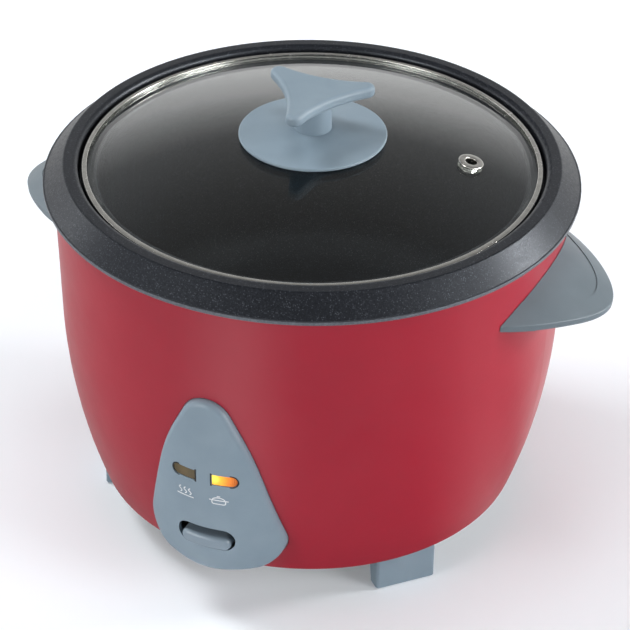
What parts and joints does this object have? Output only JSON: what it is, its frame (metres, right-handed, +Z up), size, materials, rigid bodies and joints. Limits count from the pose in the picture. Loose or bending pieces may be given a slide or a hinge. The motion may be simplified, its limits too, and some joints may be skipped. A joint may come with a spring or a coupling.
{
  "type": "rice cooker",
  "caption": "Electric rice cooker: painted bowl body with wing handles, lift-out non-stick pot with a wide flange, domed glass lid with a lobed knob, and a lever cook switch.",
  "frame": {"origin": "on the floor, under the middle of the body", "axes": "+Z up, the control panel faces -Y, the handles point along +X and -X"},
  "size_m": [0.3078, 0.26, 0.227],
  "materials": {
    "red_paint": "satin baked paint",
    "non_stick": "dark speckled non-stick coat on aluminium",
    "lid_glass": "clear toughened glass",
    "bright_steel": "polished stainless",
    "grey_plastic": "satin blue-grey moulding",
    "button_plastic": "glossy grey moulding",
    "warm_lens": "clear dark amber, unlit",
    "cook_lens": "clear amber, lit",
    "lamp_glass": "small glow lamp",
    "liner_aluminium": "mill finish",
    "cast_aluminium": "turned casting",
    "element_steel": "heat-darkened sheath",
    "plated_steel": "zinc plated",
    "ferrite": "sintered, dull",
    "board": "bare laminate",
    "black_plastic": "matt black moulding",
    "switch_plastic": "ivory moulding",
    "brass": "bright",
    "fuse": "glazed ceramic body",
    "live_sleeve": "braided sleeve",
    "heater_sleeve": "glass-fibre sleeve",
    "neutral_sleeve": "smooth sleeve",
    "earth_sleeve": "smooth sleeve"
  },
  "bodies": {
    "body": {"outer_shell": "red_paint", "inner_liner": "liner_aluminium", "base_plate": "plated_steel", "foot_right": "grey_plastic", "foot_rear": "grey_plastic", "foot_left": "grey_plastic", "foot_screws": "plated_steel", "base_posts": "plated_steel", "base_screws": "plated_steel", "liner_screws": "plated_steel", "keep_warm_band": "liner_aluminium", "heating_plate": "cast_aluminium", "heating_element": "element_steel", "plate_spacers": "plated_steel", "plate_screws": "plated_steel", "sensor_spring": "plated_steel", "thermostat_housing": "plated_steel", "housing_screws": "plated_steel", "control_panel": "grey_plastic", "warm_lens": "warm_lens", "cook_lens": "cook_lens", "warm_lamp": "lamp_glass", "cook_lamp": "lamp_glass", "lamp_board": "board", "board_screws": "plated_steel", "lever_bracket": "plated_steel", "bracket_screws": "plated_steel", "lever_pivot_pin": "plated_steel", "micro_switch": "black_plastic", "handle_right": "grey_plastic", "handle_left": "grey_plastic", "handle_screws": "plated_steel", "inlet_socket": "black_plastic", "inlet_pins": "brass", "inlet_screws": "plated_steel", "thermal_fuse": "fuse", "fuse_clip": "plated_steel", "live_wire": "live_sleeve", "fuse_wire": "live_sleeve", "neutral_wire": "neutral_sleeve", "heater_wire": "heater_sleeve", "earth_wire": "earth_sleeve"},
    "pot": {"inner_pot": "non_stick"},
    "lid": {"lid_glass": "lid_glass", "lid_rim": "bright_steel", "vent_grommet": "bright_steel", "knob_skirt": "grey_plastic", "knob_grip": "grey_plastic", "knob_washer": "bright_steel", "knob_screw": "bright_steel"},
    "cook_lever": {"cook_button": "button_plastic", "switch_lever": "plated_steel"},
    "magnet": {"thermostat_magnet": "ferrite", "magnet_rod": "plated_steel", "release_spring": "plated_steel"},
    "plunger": {"switch_plunger": "switch_plastic"},
    "sensor": {"sensor_cup": "liner_aluminium", "sensor_ferrite": "ferrite"}
  },
  "joints": [
    {"name": "pot_lift", "type": "slide", "parent": "body", "child": "pot", "axis": [0, 0, 1], "range_m": [0, 0.13]},
    {"name": "lid_lift", "type": "slide", "parent": "pot", "child": "lid", "axis": [0, 0, 1], "range_m": [0, 0.06]},
    {"name": "cook_lever", "type": "hinge", "parent": "body", "child": "cook_lever", "pos_m": [0, -0.05, 0.0395], "axis": [-1, 0, 0], "range_deg": [0, 3.3]},
    {"name": "magnet_lift", "type": "slide", "parent": "body", "child": "magnet", "axis": [0, 0, 1], "range_m": [-0.0029, 0]},
    {"name": "plunger_slide", "type": "slide", "parent": "body", "child": "plunger", "axis": [0, 0, 1], "range_m": [-0.00175, 0]},
    {"name": "sensor_slide", "type": "slide", "parent": "body", "child": "sensor", "axis": [0, 0, 1], "range_m": [-0.002, 0], "stiffness_N_per_m": 400, "springref_m": 0.002, "deforming": ["sensor_spring", "release_spring"]}
  ],
  "couplings": [
    {"joint": "magnet_lift", "follows": "cook_lever", "m_per_rad": -0.05},
    {"joint": "plunger_slide", "follows": "cook_lever", "m_per_rad": -0.03}
  ]
}
